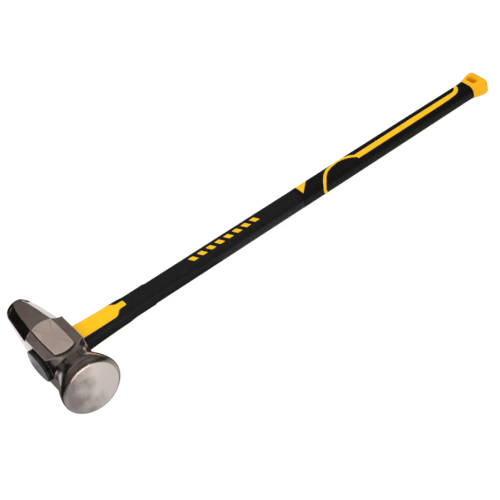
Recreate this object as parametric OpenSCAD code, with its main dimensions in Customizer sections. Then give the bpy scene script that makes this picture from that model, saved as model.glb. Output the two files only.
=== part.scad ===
/* [Overall] */
// Length from the rim of the striking face to the end of the handle cap
overall_l = 899; // [769:10:919]

/* [Head] */
// Height of the eye block between the two cheeks, without the pads
block_h = 65.1; // [61:0.1:67]
// Width of the eye block along the handle
block_w = 66; // [64:0.2:70]
// Distance from the handle axis to the poll end of the eye block
block_poll = 30; // [29:0.1:32]
// Distance from the handle axis to the bell end of the eye block
block_bell = 34.1; // [33:0.1:36]
// Distance from the handle axis to the end of the poll
poll_l = 131; // [118:0.5:140]
// Diameter of the turned end of the poll
poll_w = 43.8; // [40:0.2:46]
// Depth of the corner bevels of the octagonal poll
poll_bevel = 16.5; // [14:0.2:18]
// Distance from the handle axis to the crown of the striking face
face_l = 106.6; // [103:0.1:110]
// Radius of the rounded rim of the striking face
rim_r = 48.6; // [48:0.1:50]
// Radius of the domed striking face inside the rim
dome_r = 37.5; // [36:0.1:40]
// Radius of the turned neck behind the bell
neck_r = 34.4; // [33:0.1:36]
// Height of the raised cheek pads
pad_h = 2.7; // [1.5:0.1:4]

/* [Eye] */
// Half length of the eye along the head
eye_x = 22; // [18:0.5:23]
// Half width of the eye across the head
eye_z = 15; // [12:0.5:17]
// Half length of the oval plug that closes the eye
plug_x = 31; // [27:0.5:31.5]
// Half width of the oval plug
plug_z = 21; // [17:0.5:24]
// Height of the straight wall of the plug
plug_wall = 5.7; // [3:0.1:8]
// Height of the crown of the plug above its wall
plug_crown = 4.3; // [2:0.1:6]

/* [Handle] */
// Half width of the neck guard where it meets the head
guard_x = 24.3; // [21:0.1:26]
// Half thickness of the neck guard where it meets the head
guard_z = 14.8; // [13.8:0.1:17]
// Distance from the head axis to the end of the neck guard
guard_end = 170; // [150:1:190]
// Half width of the shaft
shaft_x = 18.9; // [17:0.1:19.2]
// Half thickness of the shaft
shaft_z = 13.3; // [12.5:0.1:13.6]
// Distance from the head centre to the start of the soft grip
grip_start = 456; // [430:1:456]
// Half width of the grip
grip_x = 18; // [17:0.1:19]
// Half thickness of the grip
grip_z = 13.1; // [12.5:0.1:14]
// Length of the end cap
cap_l = 31; // [28:0.5:42]
// Half width of the end cap where it is widest
cap_x = 22.6; // [20:0.1:25]
// Half thickness of the end cap where it is thickest
cap_z = 15.6; // [14.4:0.1:18]
// Half width of the hanging hole
hole_x = 9.6; // [7:0.1:11]
// Half height of the hanging hole along the handle
hole_y = 4.8; // [3.5:0.1:6]
// Depth of the coloured inlays
inlay_d = 1.6; // [1:0.1:2]

/* [Hidden] */
$fn = 96;
e = 0.02;
half_h = block_h / 2;
half_w = block_w / 2;
pad_z = half_h + pad_h;
cap_end = overall_l - rim_r;
cap_start = cap_end - cap_l;
hole_at = cap_start + 13;
corner = 10;
rod_x = 13;
rod_z = 8.5;
rod_corner = 8;
eye_corner = 12;
rod_start = -half_w + 6;
rod_end = cap_start + 5;
// The guard tapers as far as this step and runs on straight from there
guard_step = 127;
guard_step_x = 20.2;
guard_step_z = 13.9;
guard_end_x = 19.3;
guard_end_z = 13.7;
// The plug sits this far off the handle axis, towards the bell
plug_off = 1.5;
// Where the poll has become a full octagon, and where its flats run out into the turned end
poll_start = block_poll + 17;
poll_turned = poll_l - 9;
// The bell flares out of the neck from here, and its edge is this broad and this deep
flare_x = block_bell + 16;
edge_r = rim_r - dome_r;
edge_x = 8;
crown_h = 2.8;
// Outlines that run over the edge of the handle reach this far from its middle
past = 30;
// Origin: middle of the rectangle that the tool covers, on the plane that it lies on
origin_x = (poll_l - face_l) / 2;
origin_y = (rim_r - cap_end) / 2;
origin_z = rim_r;

// Everything is drawn about the point where the head axis (X) crosses the handle axis (Y)
module place() translate([origin_x, origin_y, origin_z]) children();

// Rectangle with round corners, given by its half sizes
module rounded(hx, hy, r) {
    square([2 * hx, 2 * (hy - r)], center = true);
    square([2 * (hx - r), 2 * hy], center = true);
    for (sx = [-1, 1], sy = [-1, 1])
        translate([sx * (hx - r), sy * (hy - r)]) circle(r);
}

// Straight bar of that section along the handle, from y0 to y1
module bar(y0, y1, hx, hz, r = corner)
    translate([0, y0, 0]) rotate([-90, 0, 0]) linear_extrude(y1 - y0) rounded(hx, hz, r);

// Flat outline in the plane of the cheeks, extruded up from the middle of the handle
module upright(h = 40) linear_extrude(h) children();

// Octagonal slice of the poll at x: half size h, corner bevel b
module octagon_slice(x, h, b)
    translate([x, 0, 0]) rotate([0, -90, 0]) linear_extrude(e)
        polygon([[h, h - b], [h - b, h], [b - h, h], [-h, h - b],
                 [-h, b - h], [b - h, -h], [h - b, -h], [h, b - h]]);

// ---- Head ----
module eye_block() intersection() {
    translate([-block_poll, -half_w, -half_h])
        cube([block_poll + flare_x - 4, block_w, block_h]);
    // The corners are turned off towards the neck
    rotate([0, 90, 0]) rotate_extrude()
        polygon([[0, -block_poll], [48, -block_poll], [48, block_bell - 1.4],
                 [46.4, block_bell], [40.6, block_bell + 4.9], [37.4, block_bell + 8.5],
                 [35.2, block_bell + 12], [neck_r, flare_x], [0, flare_x]]);
}

module poll_taper() {
    hull() {
        octagon_slice(-block_poll + e, half_h, 2);
        octagon_slice(-poll_start, half_h - 0.4, poll_bevel);
    }
    hull() {
        octagon_slice(-poll_start + e, half_h - 0.4, poll_bevel);
        octagon_slice(-poll_turned, poll_w / 2 + 0.3, poll_bevel - 1.5);
    }
    // Turned end with a bevelled edge
    rotate([0, -90, 0]) rotate_extrude()
        polygon([[0, poll_turned - 6], [poll_w / 2, poll_turned - 6], [poll_w / 2, poll_l - 2.2],
                 [poll_w / 2 - 1.9, poll_l], [0, poll_l]]);
}

module bell() {
    barrel_x = face_l - crown_h - edge_x;
    // Out of the neck in a gentle curve, round the broad edge, and over the dome
    flare = [for (i = [0:12]) let (s = i / 12)
        [neck_r + (rim_r - neck_r) * (0.5 - 0.5 * cos(180 * pow(s, 0.9))),
         flare_x + (barrel_x - flare_x) * s]];
    edge = [for (a = [10:10:80]) [dome_r + edge_r * cos(a), barrel_x + edge_x * sin(a)]];
    crown = [for (i = [0:8]) let (s = i / 8)
        [dome_r * (1 - s), face_l - crown_h * (1 - s) * (1 - s)]];
    rotate([0, 90, 0]) rotate_extrude()
        polygon(concat([[0, block_bell]], [[neck_r, block_bell]], flare, edge, crown));
}

module cheek_pad() {
    pad_y = 17.1;
    bulge = 5;
    pad_x = 36.9;
    pad_off = 0.8;
    // An arc of this radius bulges that far over the pad's end
    end_r = (pad_y * pad_y + bulge * bulge) / (2 * bulge);
    translate([pad_off, 0, half_h - 1]) linear_extrude(pad_h + 1) union() {
        square([2 * pad_x, 2 * pad_y], center = true);
        for (s = [-1, 1]) intersection() {
            translate([s * (pad_x + bulge - end_r), 0]) circle(end_r);
            translate([s * pad_x, 0]) square([2 * bulge, 2 * pad_y], center = true);
        }
    }
}

module hammer_head() color([0.36, 0.33, 0.32]) place() difference() {
    union() {
        eye_block();
        poll_taper();
        bell();
        for (m = [0, 1]) mirror([0, 0, m]) cheek_pad();
    }
    bar(-half_w - 1, half_w + 1, eye_x, eye_z, eye_corner);
}

// ---- Eye ----
module eye_plug() color([0.42, 0.41, 0.42]) place() translate([plug_off, 0, 0]) {
    translate([0, -half_w, 0]) rotate([90, 0, 0]) linear_extrude(plug_wall)
        rounded(plug_x, plug_z, plug_z - 0.5);
    hull() for (s = [0, 0.4, 0.7, 0.9, 1])
        translate([0, -half_w - plug_wall - plug_crown * s + 0.1, 0]) rotate([90, 0, 0])
            linear_extrude(0.1) scale(sqrt(1.02 - s * s)) rounded(plug_x, plug_z, plug_z - 0.5, $fn = 32);
}

module core_rod() color([0.85, 0.8, 0.6]) place() bar(rod_start, rod_end, rod_x, rod_z, rod_corner);

module eye_resin() color([0.55, 0.42, 0.2]) place() difference() {
    bar(-half_w, half_w, eye_x, eye_z, eye_corner);
    bar(rod_start, half_w + 1, rod_x, rod_z, rod_corner);
}

// ---- Neck ----
// Body of the guard, made smaller by inset and longer by over: tapered, then straight
module guard_body(inset = 0, over = 0) {
    hull() {
        bar(half_w - over, half_w - over + e, guard_x - inset, guard_z - inset, $fn = 32);
        bar(guard_step - e, guard_step, guard_step_x - inset, guard_step_z - inset, $fn = 32);
    }
    bar(guard_step - e, guard_end + over, guard_end_x - inset, guard_end_z - inset, $fn = 32);
}

// Bottle-shaped panel that runs out of the eye along the neck
module panel_outline(over = 0) {
    panel_x = 17.6;
    shoulder_y = 106;
    tab_x = 6.1;
    tab_y = guard_step - 2.4;
    tip_r = 3;
    polygon([[-panel_x, half_w - over], [panel_x, half_w - over], [panel_x - 1.6, shoulder_y - 6],
             [panel_x - 5, shoulder_y], [tab_x, shoulder_y + 7], [tab_x, tab_y - tip_r],
             [tab_x - tip_r, tab_y], [tip_r - tab_x, tab_y], [-tab_x, tab_y - tip_r],
             [-tab_x, shoulder_y + 7], [5 - panel_x, shoulder_y], [1.6 - panel_x, shoulder_y - 6]]);
}

module neck_panel() difference() {
    intersection() {
        guard_body();
        upright() panel_outline();
    }
    guard_body(inlay_d, 1);
}

module neck_panel_front() color([1, 0.8, 0]) place() neck_panel();

module neck_panel_back() color([1, 0.8, 0]) place() mirror([0, 0, 1]) neck_panel();

module neck_guard() color([0.1, 0.1, 0.1]) place() difference() {
    guard_body();
    bar(half_w - 1, guard_end + 1, rod_x, rod_z, rod_corner);
    for (m = [0, 1]) mirror([0, 0, m]) difference() {
        upright() panel_outline(1);
        guard_body(inlay_d, 1);
    }
}

// ---- Shaft ----
// Skin of a straight handle section, as deep as the inlays
module skin(y0, y1, hx, hz) difference() {
    bar(y0, y1, hx, hz);
    bar(y0 - 1, y1 + 1, hx - inlay_d, hz - inlay_d, corner - inlay_d);
}

// Row of slanted bars
module mark_outline() {
    mark_y = 245;
    pitch = 17;
    bar_l = 9;
    bar_x = 5.5;
    slant = 5;
    for (i = [0:7]) translate([0, mark_y + i * pitch])
        polygon([[-bar_x, 0], [bar_x, slant], [bar_x, slant + bar_l], [-bar_x, bar_l]]);
}

module shaft_inlay() intersection() {
    skin(guard_end, grip_start, shaft_x, shaft_z);
    upright() mark_outline();
}

module shaft_mark_front() color([1, 0.78, 0.1]) place() shaft_inlay();

module shaft_mark_back() color([1, 0.78, 0.1]) place() mirror([0, 0, 1]) shaft_inlay();

module shaft_jacket() color([0.12, 0.12, 0.12]) place() difference() {
    bar(guard_end, grip_start, shaft_x, shaft_z);
    bar(guard_end - 1, grip_start + 1, rod_x, rod_z, rod_corner);
    for (m = [0, 1]) mirror([0, 0, m]) shaft_inlay();
}

// ---- Grip ----
wedge_y = grip_start + 7;
band_y = 490;
stripe_y = 575;
stripe_end = cap_start - 30;

module wedge_outline() polygon([[10.6, wedge_y], [-past, wedge_y], [-past, wedge_y + 42]]);

// Narrow band: across the near edge, over the face, then straight along the far edge
module band_outline() polygon([[past, band_y], [17, band_y + 6], [-7, band_y + 27], [-12.5, band_y + 42],
    [-13.5, band_y + 56], [-13.5, stripe_y - 8], [-6, stripe_y - 3], [-6, stripe_y - 16],
    [-5.5, band_y + 60], [-5, band_y + 43], [-2, band_y + 34], [17, band_y + 15], [past, band_y + 9]]);

// Broad stripe along the grip that hooks over the far edge at its end
module stripe_outline() polygon([[-4, stripe_y - 6], [-1, stripe_y - 4], [11.4, stripe_y + 3],
    [11.4, stripe_y + 180], [7.8, stripe_end], [2.6, stripe_end + 11], [-11.6, stripe_end + 18],
    [-past, stripe_end + 18], [-past, stripe_end + 9], [-9, stripe_end + 9], [-3, stripe_end + 4],
    [-1, stripe_end - 12], [-1, stripe_y + 6], [-4, stripe_y + 3]]);

module grip_skin() skin(grip_start, cap_start, grip_x, grip_z);

module grip_inlay() intersection() {
    grip_skin();
    upright() children();
}

module wedge_mark_front() color([1, 0.75, 0]) place() grip_inlay() wedge_outline();

module wedge_mark_back() color([1, 0.75, 0]) place() mirror([0, 0, 1]) grip_inlay() wedge_outline();

module grip_band() color([1, 0.75, 0]) place()
    for (m = [0, 1]) mirror([0, 0, m]) grip_inlay() band_outline();

module grip_stripe_front() color([1, 0.75, 0]) place() grip_inlay() stripe_outline();

module grip_stripe_back() color([1, 0.75, 0]) place() mirror([0, 0, 1]) grip_inlay() stripe_outline();

module grip_cover() color([0.06, 0.05, 0.06]) place() difference() {
    bar(grip_start, cap_start, grip_x, grip_z);
    bar(grip_start - 1, cap_start + 1, rod_x, rod_z, rod_corner);
    for (m = [0, 1]) mirror([0, 0, m]) {
        grip_inlay() wedge_outline();
        grip_inlay() band_outline();
        grip_inlay() stripe_outline();
    }
}

// ---- End cap ----
module end_cap() color([1, 0.73, 0]) place() difference() {
    // Flares from the grip, then rounds over at its end
    hull() {
        bar(cap_start, cap_start + e, grip_x + 0.7, grip_z + 0.4, $fn = 32);
        bar(cap_end - 10, cap_end - 8, cap_x, cap_z, $fn = 32);
        bar(cap_end - 8, cap_end - 3.5, cap_x - 1.5, cap_z - 1.5, corner - 1.5, $fn = 32);
        bar(cap_end - 2, cap_end, cap_x - 6, cap_z - 6, corner - 6, $fn = 32);
    }
    bar(cap_start - 1, rod_end, rod_x, rod_z, rod_corner);
    translate([-hole_x, hole_at - hole_y, -40]) cube([2 * hole_x, 2 * hole_y, 80]);
}

hammer_head();
eye_plug();
eye_resin();
core_rod();
neck_guard();
neck_panel_front();
neck_panel_back();
shaft_jacket();
shaft_mark_front();
shaft_mark_back();
grip_cover();
wedge_mark_front();
wedge_mark_back();
grip_band();
grip_stripe_front();
grip_stripe_back();
end_cap();
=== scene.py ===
"""The looks of a long-handled sledgehammer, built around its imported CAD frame.

Shapes are worked out in millimetres about the point where the head axis (X) crosses the handle
axis (Y), and are moved into the row's frame, in metres, when their meshes are made.
"""
import math
import bpy
import numpy as np
from mathutils import Matrix, Vector


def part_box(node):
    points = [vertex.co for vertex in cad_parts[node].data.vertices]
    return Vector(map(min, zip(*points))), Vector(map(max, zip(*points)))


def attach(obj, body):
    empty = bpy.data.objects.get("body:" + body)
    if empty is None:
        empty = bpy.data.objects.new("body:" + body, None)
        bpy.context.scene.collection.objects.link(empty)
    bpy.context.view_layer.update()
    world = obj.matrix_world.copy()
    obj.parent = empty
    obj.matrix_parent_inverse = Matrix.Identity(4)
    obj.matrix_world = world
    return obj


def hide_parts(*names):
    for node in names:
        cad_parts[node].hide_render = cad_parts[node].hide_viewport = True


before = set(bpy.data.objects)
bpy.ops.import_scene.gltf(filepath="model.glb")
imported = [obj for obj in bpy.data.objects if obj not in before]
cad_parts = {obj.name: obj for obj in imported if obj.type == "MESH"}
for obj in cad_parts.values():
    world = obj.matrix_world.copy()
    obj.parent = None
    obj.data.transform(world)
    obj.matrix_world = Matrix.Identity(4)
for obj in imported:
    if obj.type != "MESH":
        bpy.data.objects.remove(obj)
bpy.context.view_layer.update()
MM = 0.001

# ---------------------------------------------------------------- sizes from the frame
HEAD_LOW, HEAD_HIGH = (np.array(corner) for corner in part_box("hammer_head"))
ROD_LOW, ROD_HIGH = (np.array(corner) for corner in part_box("core_rod"))
# The rim of the face is round about the head axis, and the rod is centred on the handle axis
ORIGIN = (HEAD_LOW + HEAD_HIGH) / 2
ORIGIN[0] = (ROD_LOW[0] + ROD_HIGH[0]) / 2


def extent(node):
    """Lowest and highest corner of a CAD node, in millimetres about ORIGIN."""
    low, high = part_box(node)
    return (np.array(low) - ORIGIN) / MM, (np.array(high) - ORIGIN) / MM


FACE_L = extent("hammer_head")[1][0]
POLL_L = -extent("hammer_head")[0][0]
RIM_R = extent("hammer_head")[1][1]
BLOCK_Y = extent("neck_guard")[0][1]
PLUG_END = -extent("eye_plug")[0][1]
PLUG_MID = (extent("eye_plug")[0][0] + extent("eye_plug")[1][0]) / 2
PLUG_X = extent("eye_plug")[1][0] - PLUG_MID
PLUG_Z = extent("eye_plug")[1][2]
PLUG_CROWN = 4.2        # height of the plug's crown
GRIP_START = extent("grip_cover")[0][1]
CAP_START = extent("end_cap")[0][1]
CAP_X, CAP_END, CAP_Z = extent("end_cap")[1]

# ---------------------------------------------------------------- head sizes
BLOCK_Z = 32.55         # half height between the cheeks
BLOCK_POLL = -29.5      # where the block steps down to the poll
FILLET_R = 19.0         # fillet where the poll's bevels run out into the block
POLL_Z = 22.2           # half size of the poll's octagon at its end
TAPER_X = -48.0         # where the straight taper starts
TAPER_Z = 31.8          # half size of the octagon there
# (x, half width) of the flat cheek of the octagon
POLL_FLATS = [(-POLL_L, 6.8), (-119, 8.0), (-105, 11.0), (-82, 13.6), (-62, 15.2), (TAPER_X, 16.6)]
COLLAR_X = 12.0         # how far the turned end of the poll runs along the head
# (x, radius): the turned end is no slimmer than the collar and no wider than the turned outline
POLL_COLLAR = [(-POLL_L, 20.7), (-POLL_L + 0.5, 21.6), (-POLL_L + 9, 23.3), (-POLL_L + 10, 22.6),
               (-POLL_L + COLLAR_X, 10)]
POLL_TURNED = [(-POLL_L, 20.7), (-POLL_L + 0.4, 21.4), (-POLL_L + 1.2, 21.8), (-POLL_L + 9, 23.6),
               (-POLL_L + COLLAR_X, 25.2), (-POLL_L + 17, 32)]
FLARE_X = 41.0          # where the flats start to rise into the bell
FLARE_RISE = 0.02       # how fast they rise, per millimetre squared
FLARE_END = FLARE_X + 20    # where they have all run out into the bell
DOME_R = 37.5           # radius of the crowned part of the face
CROWN_H = 2.8           # height of that crown
EDGE_X = 8.0            # how far the rounded edge runs along the head
EDGE_R = RIM_R - DOME_R
BARREL_X = FACE_L - CROWN_H - EDGE_X
RIM_X = BARREL_X - 3    # where the rim's darker steel colour starts
GROUND_X = BARREL_X + 0.87 * EDGE_X     # where the ground finish of the face starts
OUTSIDE = 60.0          # a radius outside the whole block, where nothing is turned
BELL_X = 33.2           # where the block ends and the turned bell starts
# (x, radius) of the bell, from the step off the block to the rim
BELL = [(BELL_X, OUTSIDE), (33.7, 46.9), (36.1, 43.9), (39, 40.7), (42.2, 37.9), (46, 35.6), (50, 34.6),
        (54, 35.0), (60, 36.9), (66, 39.3), (72, 41.8), (78, 44.2), (84, 46.3), (90, 47.9),
        (95.5, RIM_R), (102, RIM_R)]
EDGE_SOFT = 1.1         # how softly the forged edges are rounded
PAD_RISE = 2.7          # height of the cheek pads
PAD_OFF = 0.8           # how far they sit towards the bell
PAD_X = 36.9            # half length, without the bow of their ends
PAD_Y = 17.1            # half width
PAD_BULGE = 5.0         # bow of the ends
PAD_BOW = 1.2           # bow of the sides
HEAD_SPOKES = 360
# From, to and spacing of the head's rings: close where the poll and the block turn
RING_RUNS = [(-POLL_L, -POLL_L + 18, 0.4), (-POLL_L + 18, -50, 2.0), (-50, -28, 0.4), (-28, 32, 2.5)]


def smooth_min(a, b, soft):
    """The lower of two surfaces, with the edge between them rounded."""
    mix = np.clip(0.5 + 0.5 * (b - a) / soft, 0, 1)
    return b * (1 - mix) + a * mix - soft * mix * (1 - mix)


def knots(x, points, blur=0.0):
    """A line through (x, value) points, rounded at its corners over about +-blur."""
    xs, values = zip(*points)
    if not blur:
        return np.interp(x, xs, values)
    steps = np.linspace(-1, 1, 9)
    weights = 1 - 0.9 * np.abs(steps)
    total = sum(w * np.interp(x + blur * s, xs, values) for s, w in zip(steps, weights))
    return total / weights.sum()


# ---------------------------------------------------------------- mesh helpers
def new_piece(name, points, faces, materials, replaced, face_material=None):
    """A smooth-shaded mesh piece from points in millimetres, tied to the frame."""
    mesh = bpy.data.meshes.new(name)
    world = ORIGIN + np.asarray(points, float) * MM
    mesh.from_pydata(world.tolist(), [], faces)
    for material in materials:
        mesh.materials.append(material)
    if face_material is not None:
        mesh.polygons.foreach_set("material_index", np.asarray(face_material, np.int32))
    mesh.validate()
    piece = bpy.data.objects.new(name, mesh)
    bpy.context.scene.collection.objects.link(piece)
    mesh.polygons.foreach_set("use_smooth", [True] * len(mesh.polygons))
    mesh.update()
    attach(piece, "root")
    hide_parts(*replaced)
    return piece


def tube_faces(rows, columns, first=0):
    """Quads between closed rings of points, and one face across each end."""
    faces = []
    for i in range(rows - 1):
        low, high = first + i * columns, first + (i + 1) * columns
        for j in range(columns):
            k = (j + 1) % columns
            faces.append((low + j, low + k, high + k, high + j))
    faces.append(tuple(first + j for j in reversed(range(columns))))
    faces.append(tuple(first + (rows - 1) * columns + j for j in range(columns)))
    return faces


def sharpen(piece, degrees):
    """Keeps shading smooth except across edges steeper than the angle."""
    piece.data.set_sharp_from_angle(angle=math.radians(degrees))


# ---------------------------------------------------------------- materials
class Nodes:
    """A short way to write a node material."""

    def __init__(self, name):
        self.material = bpy.data.materials.new(name)
        self.material.use_nodes = True
        self.tree = self.material.node_tree
        self.shader = self.tree.nodes["Principled BSDF"]
        self.place = self.add("ShaderNodeTexCoord").outputs["Object"]

    def add(self, kind, **settings):
        node = self.tree.nodes.new(kind)
        for key, value in settings.items():
            setattr(node, key, value)
        return node

    def link(self, source, target):
        self.tree.links.new(source, target)

    def stretched(self, scale):
        """The object's coordinates, stretched along its axes."""
        node = self.add("ShaderNodeMapping")
        node.inputs["Scale"].default_value = scale
        self.link(self.place, node.inputs["Vector"])
        return node.outputs["Vector"]

    def noise(self, scale, detail=3.0, roughness=0.5, where=None):
        node = self.add("ShaderNodeTexNoise")
        node.inputs["Scale"].default_value = scale
        node.inputs["Detail"].default_value = detail
        node.inputs["Roughness"].default_value = roughness
        self.link(where or self.place, node.inputs["Vector"])
        return node.outputs["Fac"]

    def ramp(self, value, low, high, at=(0.3, 0.7)):
        """A colour (or grey) that runs from low to high as value crosses the range at."""
        node = self.add("ShaderNodeValToRGB")
        for stop, colour, place in zip(node.color_ramp.elements, (low, high), at):
            stop.color = (*colour, 1) if isinstance(colour, tuple) else (colour, colour, colour, 1)
            stop.position = place
        self.link(value, node.inputs["Fac"])
        return node.outputs["Color"]

    def blend(self, factor, first, second):
        node = self.add("ShaderNodeMix", data_type="RGBA")
        self.link(factor, node.inputs["Factor"])
        self.link(first, node.inputs["A"])
        self.link(second, node.inputs["B"])
        return node.outputs["Result"]

    def bump(self, *layers):
        """Height layers, each (value, depth in metres), into the shader's normal."""
        last = None
        for value, depth in layers:
            node = self.add("ShaderNodeBump")
            node.inputs["Distance"].default_value = depth
            self.link(value, node.inputs["Height"])
            if last is not None:
                self.link(last, node.inputs["Normal"])
            last = node.outputs["Normal"]
        self.link(last, self.shader.inputs["Normal"])

    def set(self, **values):
        for key, value in values.items():
            self.shader.inputs[key.replace("_", " ")].default_value = value


def dark_steel():
    """Varnished forging: deep warm grey metal, faintly mottled, with lighter edges from real wear and a
    painted highlight.
    """
    m = Nodes("dark_forged_steel")
    mottle = m.noise(38, 5, 0.6)
    body = m.ramp(mottle, (0.36, 0.315, 0.30), (0.46, 0.41, 0.395), (0.32, 0.68))
    # Sharp edges turn lighter: partly real wear, partly a painted highlight along the edges
    wear_and_edge_highlight = m.ramp(m.add("ShaderNodeNewGeometry").outputs["Pointiness"], 0.0, 1.0, (0.53, 0.60))
    bare_and_highlit = m.ramp(m.noise(500, 3), (0.62, 0.57, 0.53), (0.78, 0.73, 0.69))
    m.link(m.blend(wear_and_edge_highlight, body, bare_and_highlit), m.shader.inputs["Base Color"])
    m.link(m.ramp(m.noise(90, 6, 0.65), 0.15, 0.24), m.shader.inputs["Roughness"])
    m.bump((m.noise(55, 2), 0.0003), (m.noise(900, 4, 0.6), 0.00003))
    m.set(Metallic=1.0)
    return m.material


def ground_steel(name, stretch, low, high, spread, roughness=(0.26, 0.40), across=None):
    """Bright steel: fine machining marks along the unstretched axes, and a drifting heat tint.

    across is a range of y over which the colour also runs evenly from low to high, a painted shade and
    painted reflection that is darker towards low y.
    """
    m = Nodes(name)
    marks = m.noise(60, 4, 0.7, m.stretched(stretch))
    drift = m.noise(spread, 3, 0.55)
    # Painted shade and painted reflection: over the across range the colour is darker at low y and lighter
    # at high y
    if across is not None:
        along_y = m.add("ShaderNodeSeparateXYZ")
        m.link(m.place, along_y.inputs["Vector"])
        share = m.add("ShaderNodeMapRange")
        share.inputs["From Min"].default_value, share.inputs["From Max"].default_value = across
        m.link(along_y.outputs["Y"], share.inputs["Value"])
        both = m.add("ShaderNodeMath", operation="ADD")
        m.link(share.outputs["Result"], both.inputs[0])
        m.link(drift, both.inputs[1])
        drift = m.add("ShaderNodeMath", operation="MULTIPLY")
        drift.inputs[1].default_value = 0.5
        m.link(both.outputs["Value"], drift.inputs[0])
        drift = drift.outputs["Value"]
    m.link(m.ramp(drift, low, high, (0.38, 0.62)), m.shader.inputs["Base Color"])
    m.link(m.ramp(marks, *roughness), m.shader.inputs["Roughness"])
    m.bump((marks, 0.00003), (m.noise(45, 2), 0.0001))
    m.set(Metallic=1.0)
    return m.material


def moulded(name, low, high, roughness, grain, grain_depth, speckle=240, shine=0.5):
    """Moulded plastic or elastomer: slight colour drift, fine grain and uneven sheen."""
    m = Nodes(name)
    m.link(m.ramp(m.noise(speckle, 4, 0.6), low, high), m.shader.inputs["Base Color"])
    m.link(m.ramp(m.noise(70, 3), roughness - 0.06, roughness + 0.08), m.shader.inputs["Roughness"])
    m.bump((m.noise(25, 2), 0.0002), (m.noise(grain, 2, 0.5), grain_depth))
    m.set(Specular_IOR_Level=shine)
    return m.material


DARK_STEEL = dark_steel()
PAD_STEEL = ground_steel("ground_pad_steel", (1, 14, 1), (0.77, 0.67, 0.59), (0.94, 0.85, 0.77), 26,
                         (0.34, 0.46))
RIM_STEEL = ground_steel("rim_steel", (1, 1, 1), (0.15, 0.125, 0.12), (0.27, 0.235, 0.225), 40,
                         (0.20, 0.32))
# Painted shade and painted reflection: the face runs from darker to lighter across the handle axis
FACE_STEEL = ground_steel("ground_face_steel", (1, 1, 1), (0.18, 0.156, 0.152), (0.48, 0.43, 0.40), 30,
                          across=(ORIGIN[1] - 0.045, ORIGIN[1] + 0.035))
BLACK = moulded("black_jacket", (0.004, 0.004, 0.0045), (0.009, 0.009, 0.010), 0.48, 1500, 0.00006,
                shine=0.18)
GRIP = moulded("black_grip", (0.003, 0.0025, 0.003), (0.007, 0.006, 0.007), 0.58, 1100, 0.0001,
               shine=0.12)
YELLOW = moulded("yellow_inlay", (0.87, 0.47, 0.0), (0.93, 0.53, 0.0), 0.45, 1600, 0.00003, 60,
                 shine=0.2)
CAP_YELLOW = moulded("yellow_cap", (0.84, 0.39, 0.0), (0.91, 0.45, 0.0), 0.48, 1300, 0.00005, 60,
                     shine=0.2)
PLUG_GREY = moulded("plug_plastic", (0.12, 0.112, 0.12), (0.18, 0.17, 0.18), 0.35, 1400, 0.00005)
# A near-black copy of the plug's plastic, painted shade for its upright wall
PLUG_WALL_SHADE = moulded("plug_wall", (0.004, 0.004, 0.005), (0.009, 0.009, 0.010), 0.35, 1400, 0.00005)
# Near-black painted shade at the foot of the cheek pads
SHADE_PAINT = moulded("corner_painted_shade", (0.010, 0.008, 0.007), (0.03, 0.024, 0.02), 0.5, 900, 0.00005)
RESIN = moulded("cast_resin", (0.30, 0.19, 0.06), (0.42, 0.28, 0.10), 0.3, 400, 0.0001)
FIBRE = moulded("glass_fibre_rod", (0.62, 0.55, 0.34), (0.78, 0.72, 0.50), 0.35, 900, 0.0001)
HEAD_MATERIALS = [DARK_STEEL, PAD_STEEL, FACE_STEEL, SHADE_PAINT, RIM_STEEL]
FORGED, PAD, FACE, CORNER_SHADE_PAINT, RIM = range(5)     # their places in the head's mesh


# ---------------------------------------------------------------- head
def head_section(x, turned_r, angle):
    """Radius of the head at each angle about X, for the ring at x inside turned_r."""
    along = x - TAPER_X
    flat = float(knots(x, POLL_FLATS, 4.0))
    half_z = TAPER_Z + min(along, 0.0) * (TAPER_Z - POLL_Z) / (POLL_L + TAPER_X)
    half_y = half_z
    if along > 0:
        run = min(along / (BLOCK_POLL - TAPER_X), 1.0)
        ease = run * run * (3 - 2 * run)
        half_z += ease * (BLOCK_Z - half_z)
        half_y += ease * (BLOCK_Y - half_y)
        into = np.clip(x - (BLOCK_POLL - FILLET_R), 0, FILLET_R)
        flat += FILLET_R - math.sqrt(FILLET_R ** 2 - into ** 2)
    if x > BLOCK_POLL:
        flat = BLOCK_Y + 4.0
    rise, reach = np.abs(np.sin(angle)), np.abs(np.cos(angle))
    radius = np.full_like(angle, turned_r)
    if x > FLARE_X:
        half_z += FLARE_RISE * (x - FLARE_X) ** 2
        half_y += FLARE_RISE * (x - FLARE_X) ** 2
    if x < FLARE_END:
        for side in (half_z / np.maximum(rise, 1e-6), half_y / np.maximum(reach, 1e-6),
                     (flat + half_z) / (rise + reach)):
            radius = smooth_min(radius, side, EDGE_SOFT)
    if x < -POLL_L + COLLAR_X:
        radius = -smooth_min(-radius, -np.full_like(angle, knots(x, POLL_COLLAR)), 0.5)
    return radius


def head_profile():
    """(x, largest radius) of every ring, from the middle of the poll face to the crown."""
    turned = POLL_TURNED + [(-POLL_L + 22, OUTSIDE), (BELL_X, OUTSIDE)]
    tip_r = POLL_TURNED[0][1]
    rings = [(-POLL_L, tip_r * part) for part in (0.02, 0.5, 0.9, 0.98)]
    stations = np.concatenate([np.arange(*run) for run in RING_RUNS])
    rings += [(x, float(knots(x, turned))) for x in stations]
    # The step off the block stays crisp, and the bell behind it is faired
    for x in np.arange(RING_RUNS[-1][1], BARREL_X, 0.5):
        rings.append((x, float(knots(x, BELL, 0.1 + 3.0 * min(max((x - 34) / 8, 0), 1)))))
    for turn in np.radians(np.arange(5, 81, 5)):
        rings.append((BARREL_X + EDGE_X * math.sin(turn), DOME_R + EDGE_R * math.cos(turn)))
    for part in np.linspace(0.01, 0.99, 26):
        rings.append((FACE_L - CROWN_H * (1 - part) ** 2, DOME_R * (1 - part)))
    return rings


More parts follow.
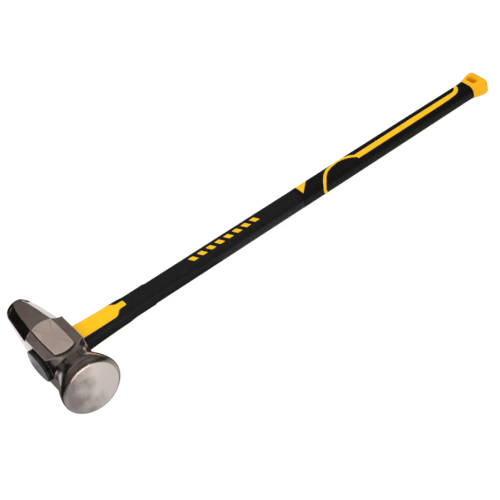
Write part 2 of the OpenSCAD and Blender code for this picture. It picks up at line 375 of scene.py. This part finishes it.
def pad_outline():
    """The cheek pad's outline, bowed at both ends and a little along its sides."""
    corners = np.linspace(-1, 1, 40)
    side = np.linspace(-1, 1, 60)[1:-1]
    right = [(PAD_X + PAD_BULGE * (1 - t * t), PAD_Y * t) for t in corners]
    top = [(-PAD_X * t, PAD_Y + PAD_BOW * (1 - t * t)) for t in side]
    left = [(-x, -y) for x, y in right]
    bottom = [(-x, -y) for x, y in top]
    return np.array(right + top + left + bottom) + (PAD_OFF, 0)


def pad_mesh(sign):
    """A pad's rings: fillet at the cheek, upright wall, rounded edge and flat top."""
    outline = pad_outline()
    ahead, behind = np.roll(outline, -1, axis=0), np.roll(outline, 1, axis=0)
    normal = np.stack([(ahead - behind)[:, 1], -(ahead - behind)[:, 0]], 1)
    normal /= np.linalg.norm(normal, axis=1)[:, None]
    # (distance outside the outline, height above the cheek) of each ring
    steps = [(1.6, -0.8), (1.5, 0.08), (0.5, 0.5), (0.05, PAD_RISE - 0.6),
             (-0.05, PAD_RISE - 0.25), (-0.3, PAD_RISE - 0.05), (-0.7, PAD_RISE), (-2.2, PAD_RISE)]
    rings = []
    for out, rise in steps:
        ring = outline + normal * out
        rings.append(np.column_stack([ring, np.full(len(ring), sign * (BLOCK_Z + rise))]))
    for part in (0.85, 0.5, 0.05):
        ring = (outline - normal * 2.2 - (PAD_OFF, 0)) * part + (PAD_OFF, 0)
        rings.append(np.column_stack([ring, np.full(len(ring), sign * (BLOCK_Z + PAD_RISE))]))
    return rings, len(outline)


def build_head():
    """The forging in one mesh: poll, block, neck, bell and face, with a pad on each cheek."""
    angle = np.linspace(0, 2 * math.pi, HEAD_SPOKES, endpoint=False)
    points, faces, finish = [], [], []
    profile = head_profile()
    for x, turned_r in profile:
        radius = head_section(x, turned_r, angle)
        points.append(np.column_stack([np.full_like(angle, x), radius * np.cos(angle),
                                       radius * np.sin(angle)]))
    faces += tube_faces(len(profile), HEAD_SPOKES)
    for x, _ in profile[:-1]:
        finish += [FACE if x > GROUND_X else RIM if x > RIM_X else FORGED] * HEAD_SPOKES
    finish += [FORGED, FACE]
    count = len(profile) * HEAD_SPOKES
    for sign in (1, -1):
        rings, columns = pad_mesh(sign)
        pad_faces = tube_faces(len(rings), columns, count)
        faces += pad_faces if sign > 0 else [tuple(reversed(face)) for face in pad_faces]
        for i in range(len(rings) - 1):
            # The pad's fillet and wall take the painted shade, the rest the pad's ground steel
            finish += [PAD if i >= 3 else CORNER_SHADE_PAINT] * columns
        finish += [FORGED, PAD]
        points += rings
        count += len(rings) * columns
    return new_piece("hammer_head_forging", np.concatenate(points), faces, HEAD_MATERIALS,
                     ["hammer_head"], finish)


# ---------------------------------------------------------------- handle surface
CORNER = 10.0           # radius of the handle's corners
CROWN = 0.7             # how far the broad sides fall from their middle to their edges
BLUR = 5.0              # how far along y the bends of a sleeve are rounded
FOLD = 28.0             # along the surface, from the middle of a broad side to a narrow one's
GUARD_END = 168.0
# (y, half width, half height) along each sleeve
GUARD = [(BLOCK_Y - 4, 24.6, 15.3), (60, 22.9, 14.6), (90, 21.8, 14.2), (117, 21.2, 14.0),
         (127, 19.5, 13.9), (GUARD_END, 19.3, 13.9)]
SHAFT = [(120, 18.7, 13.3), (300, 18.5, 13.2), (GRIP_START, 18.1, 13.0)]
SOFT = [(GRIP_START, 18.2, 13.1), (560, 18.1, 13.1), (690, 17.8, 12.9), (790, 17.4, 12.7),
        (806, 17.3, 12.6), (CAP_START, 17.7, 12.8)]


def half_sizes(y, table):
    """Half width and half height of a sleeve at y."""
    return (knots(y, [(row[0], row[1]) for row in table], BLUR),
            knots(y, [(row[0], row[2]) for row in table], BLUR))


def wrap(s, y, table, lift=0.0):
    """Points on a handle section: s runs round it from the middle of the top, towards +X."""
    s, y = np.broadcast_arrays(np.asarray(s, float), np.asarray(y, float))
    half_x, half_z = half_sizes(y, table)
    around = np.abs(s)
    arc = math.pi * CORNER / 2
    top = half_x - CORNER
    side = 2 * (half_z - CORNER)
    turn1 = np.clip((around - top) / CORNER, 0, math.pi / 2)
    turn2 = np.clip((around - top - arc - side) / CORNER, 0, math.pi / 2)
    turn = turn1 + turn2
    x = np.minimum(around, top) + CORNER * np.sin(turn1) - CORNER * (1 - np.cos(turn2))
    x -= np.maximum(around - top - 2 * arc - side, 0)
    z = half_z - CORNER * (1 - np.cos(turn1)) - np.clip(around - top - arc, 0, side) - CORNER * np.sin(turn2)
    x = x + lift * np.sin(turn)
    z = z + lift * np.cos(turn)
    z = z - np.sign(z) * CROWN * (x / half_x) ** 2 * np.abs(z) / half_z
    return np.stack([np.sign(s + 1e-12) * x, y, z], -1)


def round_length(y, table):
    """Distance round the handle at y, along its surface."""
    half_x, half_z = half_sizes(y, table)
    return 4 * (half_x - CORNER) + 4 * (half_z - CORNER) + 2 * math.pi * CORNER


def sleeve(name, table, y0, y1, material, replaced, step=2.5, columns=144, rounding=(0.6, 0.6),
           finish_line=None):
    """A closed sleeve of the handle with softly rounded ends.

    finish_line is (y, depth): past y the rings bow, and at the far end their sides lie depth
    nearer the head than their middles.
    """
    rounds = np.radians(np.linspace(0, 90, 6))
    rows = [(y0 + rounding[0] * (1 - math.sin(t)), -rounding[0] * (1 - math.cos(t))) for t in rounds[::-1]]
    rows += [(y, 0.0) for y in np.arange(y0 + rounding[0] + step, y1 - rounding[1] - step / 2, step)]
    rows += [(y1 - rounding[1] * (1 - math.sin(t)), -rounding[1] * (1 - math.cos(t))) for t in rounds]
    rings = []
    for y, lift in rows:
        half = round_length(y, table) / 2
        s = -half + np.arange(columns) * 2 * half / columns
        ys = np.full(columns, y)
        if finish_line is not None:
            share = np.clip((y - finish_line[0]) / (y1 - finish_line[0]), 0, 1)
            fold = np.minimum(np.abs(s), np.abs(2 * (round_length(y, table) / 4) - np.abs(s)))
            ys = ys - share * finish_line[1] * (fold / FOLD) ** 2
        rings.append(wrap(s, ys, table, lift))
    # Rings run round the handle the other way than the head's, so the faces are turned over
    faces = [tuple(reversed(face)) for face in tube_faces(len(rings), columns)]
    return new_piece(name, np.concatenate(rings), faces, [material], replaced)


def inlay_points(left, right, table, columns, proud, edge=0.5):
    """Upper and lower grids of an inlay between two edge curves given as (s, y)."""
    left, right = np.asarray(left, float), np.asarray(right, float)
    width = np.maximum(np.linalg.norm(right - left, axis=1), 1e-3)
    inset = np.minimum(edge / width, 0.3)[:, None]
    across = np.linspace(0, 1, columns - 2)[None, :] * (1 - 2 * inset) + inset
    across = np.concatenate([np.zeros((len(left), 1)), across, np.ones((len(left), 1))], 1)
    flat = left[:, None] + (right - left)[:, None] * across[..., None]
    lift = np.full(flat.shape[:2], proud)
    lift[:, 0] = lift[:, -1] = 0.0
    lift[0] = lift[-1] = 0.0
    upper = wrap(flat[..., 0], flat[..., 1], table, lift)
    lower = wrap(flat[..., 0], flat[..., 1], table, np.full(lift.shape, -1.0))
    return upper, lower


def inlay_shell(left, right, table, columns=14, proud=0.22, first=0, mirrored=False):
    """(points, faces) of one closed inlay."""
    upper, lower = inlay_points(left, right, table, columns, proud)
    rows = len(upper)
    points = np.concatenate([upper.reshape(-1, 3), lower.reshape(-1, 3)])
    if mirrored:
        points = points * (1, 1, -1)
    below = rows * columns
    faces = []
    for i in range(rows - 1):
        for j in range(columns - 1):
            a = i * columns + j
            faces.append((a, a + 1, a + columns + 1, a + columns))
            faces.append((below + a, below + a + columns, below + a + columns + 1, below + a + 1))
    rim = list(range(columns)) + [i * columns + columns - 1 for i in range(1, rows)]
    rim += [(rows - 1) * columns + j for j in range(columns - 2, -1, -1)]
    rim += [i * columns for i in range(rows - 2, 0, -1)]
    for a, b in zip(rim, rim[1:] + rim[:1]):
        faces.append((a, below + a, below + b, b))
    return points, [tuple(first + v for v in (reversed(face) if mirrored else face)) for face in faces]


def inlays(name, shells, material, replaced):
    """One piece from several (left, right, table, mirrored) inlays."""
    points, faces = [], []
    for left, right, table, mirrored in shells:
        some, more = inlay_shell(left, right, table, first=sum(len(p) for p in points), mirrored=mirrored)
        points.append(some)
        faces += more
    return new_piece(name, np.concatenate(points), faces, [material], replaced)


def ribbon(path, samples=90):
    """Edge curves of a ribbon whose middle runs smoothly through (s, y, half width) points."""
    path = np.asarray(path, float)
    gaps = np.linalg.norm(np.diff(path[:, :2], axis=0), axis=1)
    at = np.concatenate([[0], np.cumsum(gaps)])
    t = np.linspace(0, at[-1], samples)
    middle = np.stack([knots(t, list(zip(at, path[:, i])), 6.0) for i in range(2)], 1)
    middle[0], middle[-1] = path[0, :2], path[-1, :2]
    half = np.interp(t, at, path[:, 2])[:, None]
    along = np.gradient(middle, axis=0)
    along /= np.linalg.norm(along, axis=1)[:, None]
    beside = np.stack([along[:, 1], -along[:, 0]], 1)
    return middle - beside * half, middle + beside * half


# ---------------------------------------------------------------- handle pieces
def panel_edges():
    """The bottle-shaped panel: straight body, sloping shoulders and a narrow tab."""
    start, end, soft = BLOCK_Y + 0.2, 123.2, 2.2
    y = np.concatenate([np.linspace(start, 96, 26), np.linspace(97, end - soft, 40),
                        end - soft + soft * np.sin(np.radians(np.linspace(8, 90, 10)))])
    width = knots(y, [(start, 18.3), (97, 16.9), (101, 15.9), (104, 13.4), (108, 8.6), (111, 7.0),
                      (115, 6.5), (end + 9, 6.3)], 1.6)
    corner = np.clip((y - end + soft) / soft, 0, 1)
    width = width - soft * (1 - np.sqrt(1 - corner ** 2 * 0.999))
    return np.stack([-width, y], 1), np.stack([width, y], 1)


MARK_BARS = 8


def mark_edges():
    """Edge curves of each slanted bar in the plain mark along the shaft."""
    first, pitch, length, half, slant = 246.0, 17.0, 9.0, 5.5, 5.0
    s = np.linspace(-half, half, 12)
    rise = (s + half) / (2 * half) * slant
    for i in range(MARK_BARS):
        low = first + i * pitch + rise
        yield np.stack([s, low + length], 1), np.stack([s, low], 1)


SIDE = 27.4      # from the middle of the top to the middle of the side, along the surface
WEDGE_Y = 463.3
WEDGE_TIP = 10.2
WEDGE_SLOPE = 0.98
# (distance from the middle of the top, y, half width) along the middle of each ribbon
BAND = [(6.5, 581, 2.9), (0.4, 575.3, 2.9), (-6.5, 566.5, 3.0), (-10.8, 556, 3.1), (-11.4, 545.5, 3.2),
        (-9.0, 533.5, 2.9), (-4.5, 521.5, 2.7), (3.8, 512.3, 2.6), (11.6, 505.8, 2.6), (15.8, 502.5, 2.6),
        (20, 500.2, 2.6), (SIDE, 498.5, 2.6)]
STRIPE_Y = 577.0
STRIPE_END = CAP_START - 29.0
STRIPE = [(4.6, STRIPE_Y, 6.0), (4.2, STRIPE_Y + 120, 6.0), (4.2, STRIPE_END - 20, 5.5),
          (3.4, STRIPE_END, 4.5), (-1.0, STRIPE_END + 8, 3.5), (-8, STRIPE_END + 12.5, 3.0),
          (-18, STRIPE_END + 14.5, 2.8), (-SIDE, STRIPE_END + 15, 2.8)]


def wedge_edges():
    """The wedge: square to the handle at its start, and tapering to a tip past the middle."""
    s = np.linspace(-SIDE, WEDGE_TIP, 50)
    far = WEDGE_Y + (WEDGE_TIP - s) * WEDGE_SLOPE
    return np.stack([s, far], 1), np.stack([s, np.full_like(s, WEDGE_Y)], 1)


def build_handle():
    """The three sleeves and the yellow pieces let into them."""
    sleeve("neck_guard_sleeve", GUARD, BLOCK_Y - 0.3, GUARD_END, BLACK, ["neck_guard"],
           rounding=(0.4, 0.5), finish_line=(128, 7.0))
    sleeve("shaft_jacket_body", SHAFT, 122, GRIP_START, BLACK, ["shaft_jacket"],
           rounding=(0.3, 0.3))
    sleeve("grip_cover_body", SOFT, GRIP_START, CAP_START, GRIP, ["grip_cover"],
           rounding=(0.3, 0.3))
    for side, mirrored in (("front", False), ("back", True)):
        inlays(f"neck_panel_{side}_inlay", [(*panel_edges(), GUARD, mirrored)], YELLOW,
               [f"neck_panel_{side}"])
        inlays(f"shaft_mark_{side}_bars", [(left, right, SHAFT, mirrored) for left, right in mark_edges()],
               YELLOW, [f"shaft_mark_{side}"])
        inlays(f"wedge_mark_{side}_inlay", [(*wedge_edges(), SOFT, mirrored)], YELLOW,
               [f"wedge_mark_{side}"])
        inlays(f"grip_stripe_{side}_inlay", [(*ribbon(STRIPE, 150), SOFT, mirrored)], YELLOW,
               [f"grip_stripe_{side}"])
    inlays("grip_band_inlay", [(*ribbon(BAND), SOFT, False), (*ribbon(BAND), SOFT, True)], YELLOW,
           ["grip_band"])


# ---------------------------------------------------------------- plug and cap
PLUG_POWER = 2.4        # 2 would be an ellipse, and more is squarer
HOLE_POWER = 6.0


def oval(angle, power):
    """Distance from the middle to the edge of a squared oval of half size 1."""
    return (np.abs(np.cos(angle)) ** power + np.abs(np.sin(angle)) ** power) ** (-1 / power)


def build_plug():
    """The moulded oval that closes the eye: upright wall, soft edge and low crown."""
    angle = np.linspace(0, 2 * math.pi, 160, endpoint=False)
    wall = PLUG_END - BLOCK_Y - PLUG_CROWN
    rings = []
    rows = [(1.0, -0.5), (1.0, wall * 0.5), (1.0, wall - 0.7), (0.994, wall - 0.2), (0.98, wall + 0.15)]
    rows += [(part, wall + 0.2 + (PLUG_CROWN - 0.2) * (1 - part ** PLUG_POWER))
             for part in np.linspace(0.96, 0.02, 20)]
    for part, rise in rows:
        reach = oval(angle, PLUG_POWER)
        x = PLUG_MID + PLUG_X * part * reach * np.cos(angle)
        z = PLUG_Z * part * reach * np.sin(angle)
        rings.append(np.column_stack([x, np.full_like(x, -BLOCK_Y - rise), z]))
    faces = tube_faces(len(rings), len(angle))
    # Painted shade: the wall and soft edge take the near-black copy, the crown the grey plastic
    finish = [1 if part < 0.975 else 0 for part, _ in rows[:-1] for _ in angle] + [0, 1]
    return new_piece("eye_plug_cover", np.concatenate(rings), faces, [PLUG_WALL_SHADE, PLUG_GREY],
                     ["eye_plug"], finish)


HOLE_AT = 13.0          # from the start of the cap to the middle of the hanging hole
HOLE_X = 9.6            # half size of the hole across the handle
HOLE_Y = 4.8            # half size of the hole along the handle


def build_cap():
    """End cap: a flared sleeve with a soft lip, a crowned end and a lipped hanging hole."""
    table = [(CAP_START - 1, 17.9, 12.9), (CAP_START + 6, 19.2, 13.7),
             (CAP_START + 14, CAP_X - 1.2, CAP_Z - 0.8), (CAP_START + 21, CAP_X - 0.1, CAP_Z - 0.1),
             (CAP_END, CAP_X, CAP_Z)]
    cap = sleeve("end_cap_body", table, CAP_START, CAP_END, CAP_YELLOW, ["end_cap"],
                 step=1.2, rounding=(0.6, 8.0))
    rings = []
    angle = np.linspace(0, 2 * math.pi, 64, endpoint=False)
    lip = ((10, 0), (12.6, 0.25), (14, 0.9), (15.2, 1.9), (22, 5))     # (height, widening)
    for z, grow in [(-z, grow) for z, grow in reversed(lip)] + list(lip):
        reach = oval(angle, HOLE_POWER)
        x = (HOLE_X + grow) * reach * np.cos(angle)
        y = CAP_START + HOLE_AT + (HOLE_Y + grow) * reach * np.sin(angle)
        rings.append(np.column_stack([x, y, np.full_like(x, z)]))
    mesh = bpy.data.meshes.new("hole_cutter")
    mesh.from_pydata((ORIGIN + np.concatenate(rings) * MM).tolist(), [], tube_faces(len(rings), len(angle)))
    cutter = bpy.data.objects.new("hole_cutter", mesh)
    bpy.context.scene.collection.objects.link(cutter)
    cut = cap.modifiers.new("hole", "BOOLEAN")
    cut.object, cut.operation, cut.solver = cutter, "DIFFERENCE", "EXACT"
    depsgraph = bpy.context.evaluated_depsgraph_get()
    finished = bpy.data.meshes.new_from_object(cap.evaluated_get(depsgraph))
    cap.modifiers.clear()
    cap.data = finished
    bpy.data.objects.remove(cutter)
    sharpen(cap, 40)
    return cap


# ---------------------------------------------------------------- stage
def look_along(camera, aim, azimuth, elevation, roll, distance):
    """Puts the camera at that direction and distance from aim, turned by roll about its axis."""
    azimuth, elevation, roll = (math.radians(v) for v in (azimuth, elevation, roll))
    back = Vector((math.cos(elevation) * math.cos(azimuth), math.cos(elevation) * math.sin(azimuth),
                   math.sin(elevation)))
    level = Vector((-math.sin(azimuth), math.cos(azimuth), 0))
    upright = back.cross(level)
    right = math.cos(roll) * level + math.sin(roll) * upright
    up = -math.sin(roll) * level + math.cos(roll) * upright
    turn = Matrix((right, up, back)).transposed().to_4x4()
    camera.matrix_world = Matrix.Translation(aim + back * distance) @ turn


def build_camera():
    """A view from above the striking face, with the handle running away to the right."""
    data = bpy.data.cameras.new("camera")
    data.sensor_width, data.lens = 36.0, 105.25
    camera = bpy.data.objects.new("camera", data)
    bpy.context.scene.collection.objects.link(camera)
    aim = Vector(ORIGIN) + Vector((0.0394, 0.3317, 0.0))
    look_along(camera, aim, azimuth=-25.25, elevation=40.41, roll=-15.99, distance=2.2711)
    bpy.context.scene.camera = camera


def area_light(name, at, target, size, power, shine):
    """A rectangular soft light; shine is how much of it the glossy surfaces mirror."""
    data = bpy.data.lights.new(name, "AREA")
    data.shape, data.size, data.size_y = "RECTANGLE", size[0], size[1]
    data.energy, data.specular_factor = power, shine
    light = bpy.data.objects.new(name, data)
    bpy.context.scene.collection.objects.link(light)
    direction = Vector(target) - Vector(at)
    light.matrix_world = Matrix.Translation(at) @ direction.to_track_quat("-Z", "Y").to_matrix().to_4x4()


def stage_material(name, colour, roughness):
    """A matt, evenly lit surface that stays nearly white."""
    m = Nodes(name)
    m.link(m.ramp(m.noise(6, 2), tuple(c * 0.985 for c in colour), colour), m.shader.inputs["Base Color"])
    m.set(Roughness=roughness, Specular_IOR_Level=0.2, Emission_Color=(1, 1, 1, 1), Emission_Strength=0.9)
    return m.material


def glossy_card(name, points, faces, glow):
    """A card that only the glossy surfaces see."""
    mesh = bpy.data.meshes.new(name)
    mesh.from_pydata([tuple(point) for point in points], [], faces)
    m = Nodes(name)
    m.set(Base_Color=(0, 0, 0, 1), Emission_Color=(1.0, 0.87, 0.82, 1), Emission_Strength=glow,
          Specular_IOR_Level=0)
    mesh.materials.append(m.material)
    card = bpy.data.objects.new(name, mesh)
    bpy.context.scene.collection.objects.link(card)
    card.visible_camera = False
    card.visible_shadow = False
    card.visible_diffuse = False
    return card


ARC_POINTS = 40
ARC_FACES = [(i, i + 1, ARC_POINTS + i + 1, ARC_POINTS + i) for i in range(ARC_POINTS - 1)]


def card_arc(name, radius, low, high, start, end, glow):
    """An upright arc of card around the head, between two heights and two azimuths."""
    turns = np.radians(np.linspace(start, end, ARC_POINTS))
    line = [(ORIGIN[0] + radius * math.cos(a), ORIGIN[1] + radius * math.sin(a)) for a in turns]
    points = [(x, y, low) for x, y in line] + [(x, y, high) for x, y in line]
    return glossy_card(name, points, ARC_FACES, glow)


def aimed_card(name, azimuth, elevation, distance, width, height, glow):
    """A square-on card in that direction from the head."""
    azimuth, elevation = math.radians(azimuth), math.radians(elevation)
    out = np.array([math.cos(elevation) * math.cos(azimuth), math.cos(elevation) * math.sin(azimuth),
                    math.sin(elevation)])
    beside = np.array([-math.sin(azimuth), math.cos(azimuth), 0.0]) * width / 2
    above = np.cross(out, beside) / (width / 2) * height / 2
    middle = ORIGIN + out * distance
    points = [middle + i * beside + j * above for i, j in ((-1, -1), (1, -1), (1, 1), (-1, 1))]
    glossy_card(name, points, [(0, 1, 2, 3)], glow)


def floor_point(middle, up, x, y, lift=0.002):
    """A point just above the floor, x and y metres from its middle."""
    flat = Vector((x, y, 0))
    return middle + flat - up * flat.dot(up) + up * lift


def floor_sector(name, middle, up, start, end, inner, glow):
    """A card on the floor that covers a sector around the poll from the inner radius outwards."""
    points = [floor_point(middle, up, radius * math.cos(turn) + POLL_ON_FLOOR, radius * math.sin(turn))
              for radius in (inner, SECTOR_R) for turn in np.radians(np.linspace(start, end, ARC_POINTS))]
    glossy_card(name, points, ARC_FACES, glow)


RIM_ON_FLOOR = 100.5    # x where the rim touches the floor, in millimetres
POLL_ON_FLOOR = -0.17   # from there to the middle of the floor sectors, in metres
SECTOR_R = 1.2
FLOOR_HALF = 8.0
FLOOR_GAP = 0.6         # between the rim and the floor, in millimetres
CARD_R = 0.95           # from the head to the upright cards
CARD_TOP = 1.15
# Corners of the card under the head and the guard, in metres from where the rim touches
UNDER_HEAD = [(-0.16, -0.17), (-0.01, -0.17), (-0.02, 0.30), (-0.15, 0.30)]
# Name, lowest and highest z, azimuths and glow of the upright cards
WALL_CARDS = [("dark_arc", -0.05, 0.42, 182, 320, 0.006), ("back_arc", -0.05, 0.42, 95, 182, 0.19),
              ("front_arc", -0.15, 0.42, -40, 95, 0.02), ("high_arc", 0.42, CARD_TOP, 0, 360, 0.27)]


def build_stage():
    """A pale floor that touches the rim, the poll and the cap, with cards and lights round it."""
    rim = np.array([RIM_ON_FLOOR, 0.0, -RIM_R])
    poll = np.array([-POLL_L + 4, 0.0, -POLL_Z])
    cap = np.array([0.0, CAP_END - 6, -CAP_Z])
    normal = np.cross(cap - rim, poll - rim)
    normal *= np.sign(normal[2]) / np.linalg.norm(normal)
    middle, up = Vector(ORIGIN + (rim - normal * FLOOR_GAP) * MM), Vector(normal)
    corners = [(-FLOOR_HALF, -FLOOR_HALF, 0), (FLOOR_HALF, -FLOOR_HALF, 0), (FLOOR_HALF, FLOOR_HALF, 0),
               (-FLOOR_HALF, FLOOR_HALF, 0)]
    mesh = bpy.data.meshes.new("floor")
    mesh.from_pydata(corners, [], [(0, 1, 2, 3)])
    mesh.materials.append(stage_material("pale_floor", (0.24, 0.24, 0.24), 0.7))
    floor = bpy.data.objects.new("floor", mesh)
    bpy.context.scene.collection.objects.link(floor)
    floor.matrix_world = Matrix.Translation(middle) @ up.to_track_quat("Z", "Y").to_matrix().to_4x4()

    for name, low, high, start, end, glow in WALL_CARDS:
        card_arc(name, CARD_R, low, high, start, end, glow)
    ceiling = [(ORIGIN[0] + x, ORIGIN[1] + y, CARD_TOP) for x, y in ((-1, -1), (1, -1), (1, 1), (-1, 1))]
    glossy_card("ceiling", ceiling, [(0, 1, 2, 3)], 0.5)
    # A bright strip for the edge of the face
    aimed_card("edge_light", 0, 1, 0.6, 0.34, 0.12, 8.0)
    # Keep the far floor out of the dark side of the poll and out of the flare of the bell
    floor_sector("poll_mask", middle, up, 186, 310, 0.13, 0.006)
    floor_sector("bell_mask", middle, up, 120, 186, 0.22, 0.03)
    # The floor under the head and the guard is in their shade
    under = [floor_point(middle, up, x, y) for x, y in UNDER_HEAD]
    glossy_card("under_mask", under, [(0, 1, 2, 3)], 0.2)
    # A white wall that only the camera sees, so that the floor has no horizon
    backdrop = card_arc("backdrop", 7.5, -1.5, 9.0, 0, 360, 1.3)
    backdrop.visible_camera, backdrop.visible_glossy = True, False

    world = bpy.data.worlds.new("studio")
    bpy.context.scene.world = world
    world.use_nodes = True
    background = world.node_tree.nodes["Background"]
    background.inputs["Color"].default_value = (1, 1, 1, 1)
    background.inputs["Strength"].default_value = 0.75
    area_light("top_softbox", (0.3, -0.2, 2.6), (0, 0, 0), (2.2, 2.2), 26, 0.15)
    area_light("left_softbox", (-1.6, -1.4, 1.9), (0, -0.3, 0), (0.9, 1.6), 10, 0.1)
    area_light("front_softbox", (2.4, -1.2, 0.7), (0, -0.4, 0.05), (0.6, 1.2), 8, 0.7)
    bpy.context.scene.view_settings.view_transform = "Standard"


build_head()
build_plug()
build_handle()
build_cap()
for node, material in (("eye_resin", RESIN), ("core_rod", FIBRE)):
    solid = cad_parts[node]
    solid.data.materials.clear()
    solid.data.materials.append(material)
build_camera()
build_stage()
